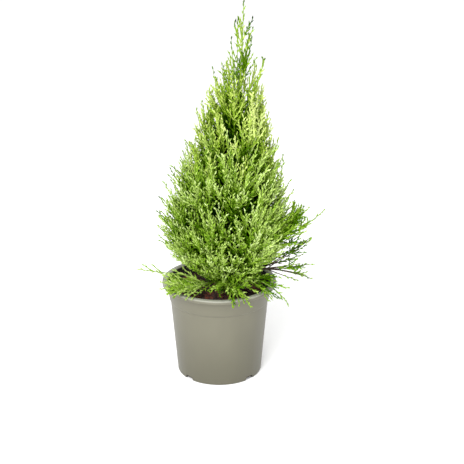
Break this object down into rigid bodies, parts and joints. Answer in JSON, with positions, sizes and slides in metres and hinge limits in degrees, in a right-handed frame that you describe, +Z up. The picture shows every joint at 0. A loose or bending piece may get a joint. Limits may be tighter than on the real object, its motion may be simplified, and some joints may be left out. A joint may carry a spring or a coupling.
{
  "type": "lemon cypress in a pot",
  "caption": "Young lemon cypress in a round nursery pot: a leaning trunk with low boughs and upright plumes of fine bright green foliage that make a narrow cone.",
  "frame": {"origin": "middle of the pot's flat underside", "axes": "+Z up, +X to the right and -Y towards the viewer, as the picture shows the plant"},
  "size_m": [0.2777, 0.2138, 0.554],
  "materials": {
    "pot": "matt taupe grey moulded plastic",
    "soil": "moist dark brown potting mix with bits of bark",
    "bark": "rough brown bark",
    "foliage": "bright yellow-green scale leaves and short needles"
  },
  "bodies": {
    "root": {"bough_back_left": "bark", "bough_back_right": "bark", "bough_front": "bark", "bough_left_front": "bark", "bough_left_low": "bark", "bough_lower_1": "bark", "bough_lower_2": "bark", "bough_lower_3": "bark", "bough_lower_4": "bark", "bough_lower_5": "bark", "bough_lower_6": "bark", "bough_middle_1": "bark", "bough_middle_2": "bark", "bough_middle_3": "bark", "bough_middle_4": "bark", "bough_middle_5": "bark", "bough_middle_6": "bark", "bough_right_front": "bark", "bough_right_long": "bark", "bough_right_low": "bark", "foliage_back_left": "foliage", "foliage_back_right": "foliage", "foliage_crest_1": "foliage", "foliage_crest_2": "foliage", "foliage_crest_3": "foliage", "foliage_front": "foliage", "foliage_leader": "foliage", "foliage_left_front": "foliage", "foliage_left_low": "foliage", "foliage_lower_1": "foliage", "foliage_lower_2": "foliage", "foliage_lower_3": "foliage", "foliage_lower_4": "foliage", "foliage_lower_5": "foliage", "foliage_lower_6": "foliage", "foliage_middle_1": "foliage", "foliage_middle_2": "foliage", "foliage_middle_3": "foliage", "foliage_middle_4": "foliage", "foliage_middle_5": "foliage", "foliage_middle_6": "foliage", "foliage_right_front": "foliage", "foliage_right_long": "foliage", "foliage_right_low": "foliage", "foliage_skirt_1": "foliage", "foliage_skirt_2": "foliage", "foliage_skirt_3": "foliage", "foliage_top_1": "foliage", "foliage_top_2": "foliage", "foliage_top_3": "foliage", "foliage_top_4": "foliage", "foliage_top_5": "foliage", "foliage_upper_1": "foliage", "foliage_upper_2": "foliage", "foliage_upper_3": "foliage", "foliage_upper_4": "foliage", "foliage_upper_5": "foliage", "pot": "pot", "soil": "soil", "trunk": "bark"}
  },
  "joints": []
}
